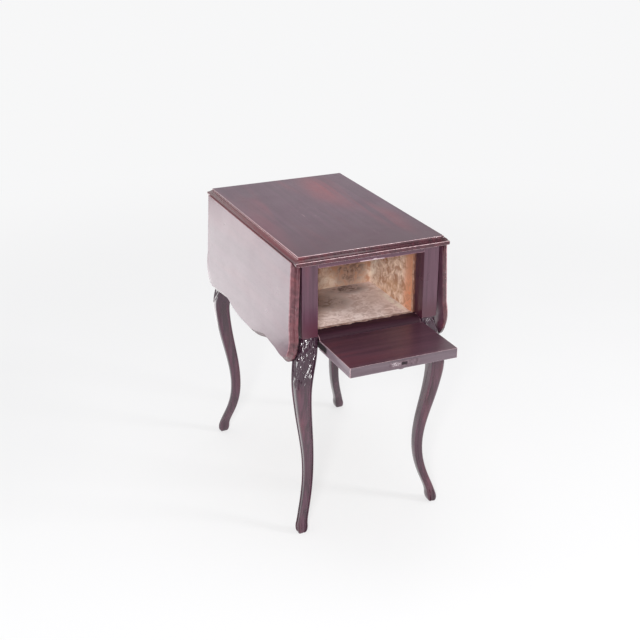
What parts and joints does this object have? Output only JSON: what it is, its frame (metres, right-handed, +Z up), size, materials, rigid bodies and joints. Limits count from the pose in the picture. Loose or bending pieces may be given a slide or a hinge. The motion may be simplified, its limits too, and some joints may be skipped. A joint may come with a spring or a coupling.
{
  "type": "drop-leaf sewing table",
  "caption": "Small drop-leaf sewing table on cabriole legs, with two hanging scalloped leaves and a lockable fall flap over a paper-lined compartment.",
  "frame": {"origin": "on the floor, under the middle of the whole table with its flap open and its leaves hanging", "axes": "+X to the right seen from the front, +Y to the rear, +Z up"},
  "size_m": [0.4256, 0.76, 0.72],
  "materials": {
    "top_mahogany": "semi-gloss French polish, grain front to back",
    "leg_mahogany": "semi-gloss, darker in the carving",
    "leaf_mahogany": "semi-gloss, grain along the hinge",
    "case_mahogany": "semi-gloss",
    "flap_mahogany": "worn semi-gloss, pale arrises",
    "lining_paper": "mottled lining paper, matt",
    "hinge_iron": "dull iron",
    "screw_iron": "dull iron",
    "lock_brass": "tarnished brass",
    "inner_softwood": "plain, unpolished"
  },
  "bodies": {
    "frame": {"box_back": "inner_softwood", "box_side_left": "inner_softwood", "box_side_right": "inner_softwood", "bracket_pin_left": "hinge_iron", "bracket_pin_right": "hinge_iron", "bracket_rail_left": "inner_softwood", "bracket_rail_right": "inner_softwood", "flap_pivot_pins": "hinge_iron", "floor_board": "inner_softwood", "floor_ledger_left": "inner_softwood", "floor_ledger_right": "inner_softwood", "fly_bracket_left": "inner_softwood", "fly_bracket_right": "inner_softwood", "front_bottom_rail": "case_mahogany", "front_top_rail": "case_mahogany", "leaf_hinge_fixed_left": "hinge_iron", "leaf_hinge_fixed_right": "hinge_iron", "leaf_hinge_pins_left": "hinge_iron", "leaf_hinge_pins_right": "hinge_iron", "leaf_screws_fixed_left": "screw_iron", "leaf_screws_fixed_right": "screw_iron", "leg_front_left": "leg_mahogany", "leg_front_right": "leg_mahogany", "leg_rear_left": "leg_mahogany", "leg_rear_right": "leg_mahogany", "lining_back": "lining_paper", "lining_floor": "lining_paper", "lining_left": "lining_paper", "lining_right": "lining_paper", "rear_cleat": "inner_softwood", "rear_panel": "case_mahogany", "side_panel_left": "case_mahogany", "side_panel_right": "case_mahogany", "strike_plate": "lock_brass", "strike_screws": "screw_iron", "top_board": "top_mahogany", "top_screws": "screw_iron"},
    "left_leaf": {"leaf_left": "leaf_mahogany", "leaf_hinge_swinging_left": "hinge_iron", "leaf_screws_swinging_left": "screw_iron"},
    "right_leaf": {"leaf_right": "leaf_mahogany", "leaf_hinge_swinging_right": "hinge_iron", "leaf_screws_swinging_right": "screw_iron"},
    "flap": {"flap_panel": "flap_mahogany", "flap_pivot_plates": "hinge_iron", "flap_plate_screws": "screw_iron", "lock_case": "lock_brass", "lock_screws": "screw_iron", "keyhole_boss": "case_mahogany"},
    "bolt": {"lock_bolt": "lock_brass"}
  },
  "joints": [
    {"name": "left_leaf_hinge", "type": "hinge", "parent": "frame", "child": "left_leaf", "pos_m": [-0.1866, 0.079, 0.7053], "axis": [0, 1, 0], "range_deg": [0, 87.5]},
    {"name": "right_leaf_hinge", "type": "hinge", "parent": "frame", "child": "right_leaf", "pos_m": [0.1866, 0.079, 0.7053], "axis": [0, -1, 0], "range_deg": [0, 87.5]},
    {"name": "flap_pivot", "type": "hinge", "parent": "frame", "child": "flap", "pos_m": [0, -0.193, 0.498], "axis": [-1, 0, 0], "range_deg": [0, 90]},
    {"name": "bolt_slide", "type": "slide", "parent": "flap", "child": "bolt", "axis": [0, -1, 0], "range_m": [0, 0.008]}
  ]
}
